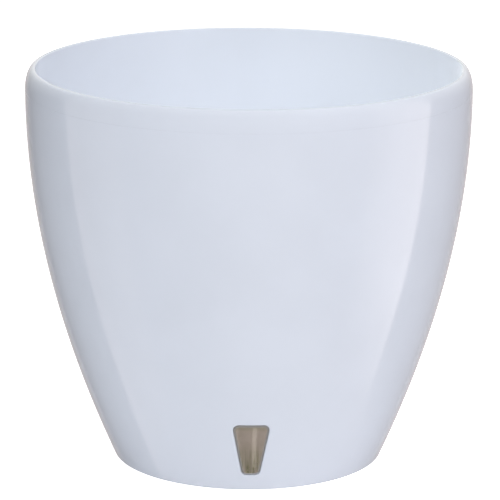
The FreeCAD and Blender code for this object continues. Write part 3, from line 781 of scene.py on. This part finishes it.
def add_fibre(vertices, faces, rng, radius, half):
    """One loose fibre, a bowed three-sided strand that lies on the pad's top."""
    a, r = rng.uniform(0, 2 * math.pi), radius * 0.92 * math.sqrt(rng.uniform(0, 1))
    heading, reach = rng.uniform(0, 2 * math.pi), rng.uniform(0.8, 1.8)
    start = np.array((r * math.cos(a), r * math.sin(a), half))
    along = np.array((math.cos(heading), math.sin(heading), 0)) * reach
    side = np.array((-math.sin(heading), math.cos(heading), 0)) * FIBRE_HALF_WIDTH
    base = len(vertices)
    for s in (0.0, 0.5, 1.0):
        point = start + along * s + np.array((0, 0, FIBRE_BOW * math.sin(math.pi * s) + FIBRE_LIFT))
        off_axis = math.hypot(point[0], point[1])
        if off_axis > radius:
            point[:2] *= radius / off_axis
        crest = point + np.array((0, 0, FIBRE_HEIGHT))
        vertices.extend((tuple(point - side), tuple(point + side), tuple(crest)))
    for k in (base, base + 3):
        for i, j in ((0, 1), (1, 2), (2, 0)):
            faces.append((k + i, k + j, k + 3 + j, k + 3 + i))
    faces.append((base + 2, base + 1, base))
    faces.append((base + 6, base + 7, base + 8))


def make_felt(node, seed):
    """A needled disc: a rounded pad with a matted surface and loose fibres."""
    low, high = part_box(node)
    radius = (high.x - low.x) / 2 / MM - 0.25
    half = (high.z - low.z) / 2 / MM - 0.15
    rng = np.random.default_rng(seed)
    pad = revolved(node + "_pad", pad_outline(radius, half), 64)
    mesh = pad.data
    for vertex in mesh.vertices:
        lift = rng.normal(0.0, FELT_UNEVENNESS * MM)
        vertex.co += vertex.normal * lift
    vertices = [tuple(v.co / MM) for v in mesh.vertices]
    faces = [tuple(p.vertices) for p in mesh.polygons]
    for _ in range(FIBRE_COUNT):
        add_fibre(vertices, faces, rng, radius, half)
    bpy.data.objects.remove(pad)
    felt = new_object(node + "_pad", vertices, faces)
    felt.data.transform(Matrix.Translation((low + high) / 2))
    felt.data.shade_smooth()
    return felt


# ==== materials ===================================================================================
def shade(colour, factor):
    return tuple(min(1.0, c * factor) for c in colour)


def moulded_plastic(name, colour, roughness, peel=0.1, grain=0.1, coat=0.0, glow=0.0):
    """Injection moulded plastic: faint flow mottling, uneven gloss, orange peel and fine grain."""
    material, tree, shader = node_material(name)
    mottle = noise(tree, 22.0, 3.0)
    tone = ramp(tree, mottle, shade(colour, 0.985), shade(colour, 1.012))
    tree.links.new(tone, shader.inputs["Base Color"])
    gloss = noise(tree, 90.0, 4.0)
    tree.links.new(spread(tree, gloss, roughness * 0.9, roughness * 1.12), shader.inputs["Roughness"])
    peeled = bump(tree, noise(tree, 130.0, 1.0), peel, 0.0002)
    tree.links.new(bump(tree, noise(tree, 1800.0, 2.0), grain, 0.00002, peeled), shader.inputs["Normal"])
    shader.inputs["IOR"].default_value = IOR_PLASTIC
    shader.inputs["Coat Weight"].default_value = coat
    shader.inputs["Coat Roughness"].default_value = 0.06
    if glow > 0:
        shader.inputs["Subsurface Weight"].default_value = glow
        shader.inputs["Subsurface Radius"].default_value = (1.0, 0.95, 0.9)
        shader.inputs["Subsurface Scale"].default_value = 0.002
    return material


def paint_inside_light(material):
    """Painted light: a pale glow on the planting space's wall and floor, stronger towards +X, not on the
    inner pot's outside.
    """
    tree = material.node_tree
    shader = tree.nodes["Principled BSDF"]
    place = own_place(tree)
    flat = tree.nodes.new("ShaderNodeVectorMath")
    flat.operation = "MULTIPLY"
    flat.inputs[1].default_value = (1.0, 1.0, 0.0)
    tree.links.new(place, flat.inputs[0])
    radius = tree.nodes.new("ShaderNodeVectorMath")
    radius.operation = "LENGTH"
    tree.links.new(flat.outputs[0], radius.inputs[0])
    bore = (INNER_TOP_RADIUS - INNER_WALL) * MM
    within = map_range(tree, radius.outputs["Value"], bore + 0.6 * MM, bore + 0.1 * MM)
    # A direction that points off the axis and a little down: inner walls and floor face against it.
    outward = tree.nodes.new("ShaderNodeVectorMath")
    outward.operation = "ADD"
    outward.inputs[1].default_value = (0.0, 0.0, -0.03)
    tree.links.new(flat.outputs[0], outward.inputs[0])
    shape = tree.nodes.new("ShaderNodeNewGeometry")
    facing = tree.nodes.new("ShaderNodeVectorMath")
    facing.operation = "DOT_PRODUCT"
    tree.links.new(shape.outputs["True Normal"], facing.inputs[0])
    tree.links.new(outward.outputs[0], facing.inputs[1])
    inner_face = map_range(tree, facing.outputs["Value"], 0.004, -0.004)
    reach = POT_RADIUS * MM
    # Painted light: the glow grows from the -X side to the +X side.
    level = map_range(tree, reach_along(tree, place, (1.0, 0.0, 0.0)), -reach, reach, *INSIDE_PAINTED_LIGHT)
    glow = product(tree, product(tree, level, within), inner_face)
    shader.inputs["Emission Color"].default_value = (*INSIDE_PAINTED_LIGHT_COLOUR, 1)
    tree.links.new(glow, shader.inputs["Emission Strength"])


def smoky_pane():
    """Smoky plastic that lets some light through: streaks low down, an olive top edge, and a low bevel
    painted pale where it faces down, a painted highlight.
    """
    material, tree, shader = node_material("smoky_pane")
    height = reach_along(tree, own_place(tree), (0.0, 0.0, 1.0))
    clear = ramp(tree, noise(tree, 300.0, 3.0), (0.47, 0.39, 0.315), (0.51, 0.425, 0.35))
    # Darker streaks on the lower part of the pane.
    streaks = noise(tree, 1.0, 3.0, stretch=(900.0, 0.0, 70.0))
    low_streaks = ramp(tree, streaks, (0.245, 0.225, 0.12), (0.44, 0.37, 0.29), 0.40, 0.62)
    face = mixed(tree, map_range(tree, height, *PANE_STREAK_HEIGHTS), clear, low_streaks)
    edged_face = mixed(tree, map_range(tree, height, *PANE_TOP_HEIGHTS), face, (0.42, 0.37, 0.27))
    normal = tree.nodes.new("ShaderNodeNewGeometry").outputs["True Normal"]
    # The bevel, found by which way it faces, carries a painted highlight: pale where it faces down, grey
    # elsewhere.
    on_bevel = map_range(tree, reach_along(tree, normal, PANE_FACING), 0.97, 0.9)
    painted_highlight_share = map_range(tree, reach_along(tree, normal, (0.0, 0.0, 1.0)), -0.55, -0.85)
    bevel = mixed(tree, painted_highlight_share, (0.42, 0.40, 0.37), (0.95, 0.95, 1.0))
    tree.links.new(mixed(tree, on_bevel, edged_face, bevel), shader.inputs["Base Color"])
    tree.links.new(bump(tree, noise(tree, 160.0, 1.0), 0.1, 0.0002), shader.inputs["Normal"])
    shader.inputs["Roughness"].default_value = 0.1
    shader.inputs["IOR"].default_value = IOR_PLASTIC
    shader.inputs["Alpha"].default_value = PANE_ALPHA
    return material


def strip_with_painted_glow():
    """The translucent level strip, with a painted glow in place of the daylight behind the pane."""
    material = moulded_plastic("strip_plastic", STRIP_COLOUR, 0.5, 0.1, 0.3)
    shader = material.node_tree.nodes["Principled BSDF"]
    shader.inputs["Emission Color"].default_value = (*STRIP_PAINTED_GLOW_COLOUR, 1)
    shader.inputs["Emission Strength"].default_value = STRIP_PAINTED_GLOW
    return material


def soft_rubber():
    material, tree, shader = node_material("seal_rubber")
    tone = ramp(tree, noise(tree, 400.0, 4.0), (0.03, 0.03, 0.032), (0.055, 0.055, 0.058))
    tree.links.new(tone, shader.inputs["Base Color"])
    tree.links.new(spread(tree, noise(tree, 900.0), 0.55, 0.75), shader.inputs["Roughness"])
    tree.links.new(bump(tree, noise(tree, 2500.0, 3.0), 0.25, 0.00005), shader.inputs["Normal"])
    return material


def felt_fibre():
    material, tree, shader = node_material("felt")
    tone = ramp(tree, noise(tree, 900.0, 6.0, 0.7), (0.25, 0.24, 0.21), (0.52, 0.50, 0.46))
    tree.links.new(tone, shader.inputs["Base Color"])
    shader.inputs["Roughness"].default_value = 0.95
    shader.inputs["Sheen Weight"].default_value = 0.4
    tree.links.new(bump(tree, noise(tree, 2200.0, 5.0, 0.7), 0.8, 0.0002), shader.inputs["Normal"])
    return material


def drawn_steel():
    """Bare pin steel with drawing lines along X, the way the pin lies."""
    material, tree, shader = node_material("pin_steel")
    lines = noise(tree, 1.0, stretch=(150.0, 4000.0, 4000.0))
    tone = ramp(tree, lines, (0.50, 0.50, 0.51), (0.68, 0.68, 0.69))
    tree.links.new(tone, shader.inputs["Base Color"])
    tree.links.new(spread(tree, lines, 0.25, 0.42), shader.inputs["Roughness"])
    shader.inputs["Metallic"].default_value = 1.0
    return material


def dress(thing, material):
    """Puts one material on every slot of an object."""
    if not thing.material_slots:
        thing.data.materials.append(material)
    for place in thing.material_slots:
        place.material = material


# ==== the whole scene =============================================================================
def add_piece(piece, body, node, material):
    dress(piece, material)
    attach(piece, body)
    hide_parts(node)


def dress_cad_nodes(materials):
    slots = {
        "window_gasket": "seal_rubber",
        "window_retainer": "frame_plastic",
        "level_strip": "strip_plastic",
        "drain_plug": "plug_plastic",
        "drain_plug_seal": "seal_rubber",
        "fill_tube": "tube_plastic",
        "tube_lock_ring": "tube_plastic",
        "fill_cap": "cap_plastic",
        "cap_hinge_pin": "pin_steel",
    }
    slots.update({name: "cup_plastic" for name in CUP_NODES})
    for node, slot_name in slots.items():
        dress(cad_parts[node], materials[slot_name])


def build():
    make_camera()
    make_world()
    make_floor()
    make_lights()
    bpy.context.scene.view_settings.view_transform = "Standard"
    materials = {
        "pot_gloss": moulded_plastic("pot_gloss", POT_COLOUR, 0.08, 0.05, 0.03, 0.3),
        "inner_gloss": moulded_plastic("inner_gloss", POT_COLOUR, 0.08, 0.05, 0.03, 0.3),
        "smoky_pane": smoky_pane(),
        "seal_rubber": soft_rubber(),
        "frame_plastic": moulded_plastic("frame_plastic", (0.22, 0.20, 0.17), 0.5, 0.1, 0.3),
        "strip_plastic": strip_with_painted_glow(),
        "plug_plastic": moulded_plastic("plug_plastic", (0.25, 0.27, 0.30), 0.45, 0.1, 0.4),
        "tube_plastic": moulded_plastic("tube_plastic", (0.70, 0.74, 0.80), 0.38, 0.1, 0.3),
        "cap_plastic": moulded_plastic("cap_plastic", (0.28, 0.31, 0.35), 0.42, 0.1, 0.5),
        "cup_plastic": moulded_plastic("cup_plastic", DARK_PLASTIC, 0.5, 0.1, 0.5),
        "felt": felt_fibre(),
        "pin_steel": drawn_steel(),
    }
    paint_inside_light(materials["inner_gloss"])
    dress_cad_nodes(materials)
    add_piece(make_outer_pot(), "shell", "outer_pot", materials["pot_gloss"])
    add_piece(make_window_lens(), "shell", "window_lens", materials["smoky_pane"])
    add_piece(make_inner_pot(), "liner", "inner_pot", materials["inner_gloss"])
    for number in (1, 2, 3, 4):
        node = f"wick_felt_{number}"
        add_piece(make_felt(node, number), "liner", node, materials["felt"])


build()
